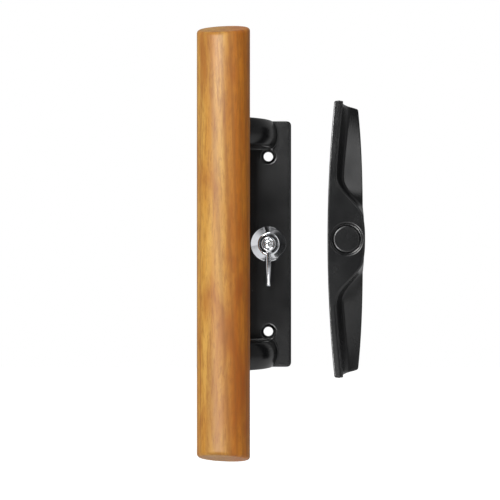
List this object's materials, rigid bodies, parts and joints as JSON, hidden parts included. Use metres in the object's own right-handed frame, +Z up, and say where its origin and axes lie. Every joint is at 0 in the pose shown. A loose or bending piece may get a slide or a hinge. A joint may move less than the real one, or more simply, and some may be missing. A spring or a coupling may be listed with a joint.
{
  "type": "patio door handle set",
  "caption": "Sliding patio door handle set: inside bracket with varnished wood grip and chrome thumb turn, with a sculpted black outside pull that has a plugged keyhole.",
  "frame": {"origin": "on the thumb turn's axis, in the plane of the inside plate's back face, midway between its two screw holes", "axes": "+X to the right seen from the front, +Y into the door, away from the viewer, +Z up; both halves face -Y and have their backs at Y = 0"},
  "size_m": [0.0931, 0.096, 0.239],
  "materials": {
    "black_coat": "satin black powder coat on die-cast zinc",
    "varnished_wood": "straight-grained hardwood under clear satin varnish",
    "chrome_trim": "bright polished chrome plate",
    "plated_steel": "zinc-plated steel",
    "spring_steel": "oiled spring steel"
  },
  "bodies": {
    "fixed_parts": {"handle_casting": "black_coat", "wood_grip": "varnished_wood", "grip_screws": "plated_steel", "grip_lock_washers": "spring_steel", "turn_rosette": "chrome_trim", "wave_washer": "spring_steel", "thrust_washer": "spring_steel", "pull_casting": "black_coat", "pull_posts": "plated_steel", "keyhole_plug": "black_coat", "plug_ring": "spring_steel"},
    "thumb_turn": {"thumb_lever": "chrome_trim", "lever_screw": "plated_steel", "turn_spindle": "plated_steel", "tailpiece": "plated_steel", "tailpiece_pin": "spring_steel", "retaining_clip": "spring_steel"}
  },
  "joints": [
    {"name": "thumb_turn_pivot", "type": "hinge", "parent": "fixed_parts", "child": "thumb_turn", "pos_m": [0, 0, 0], "axis": [0, 1, 0], "range_deg": [-90, 90]}
  ]
}
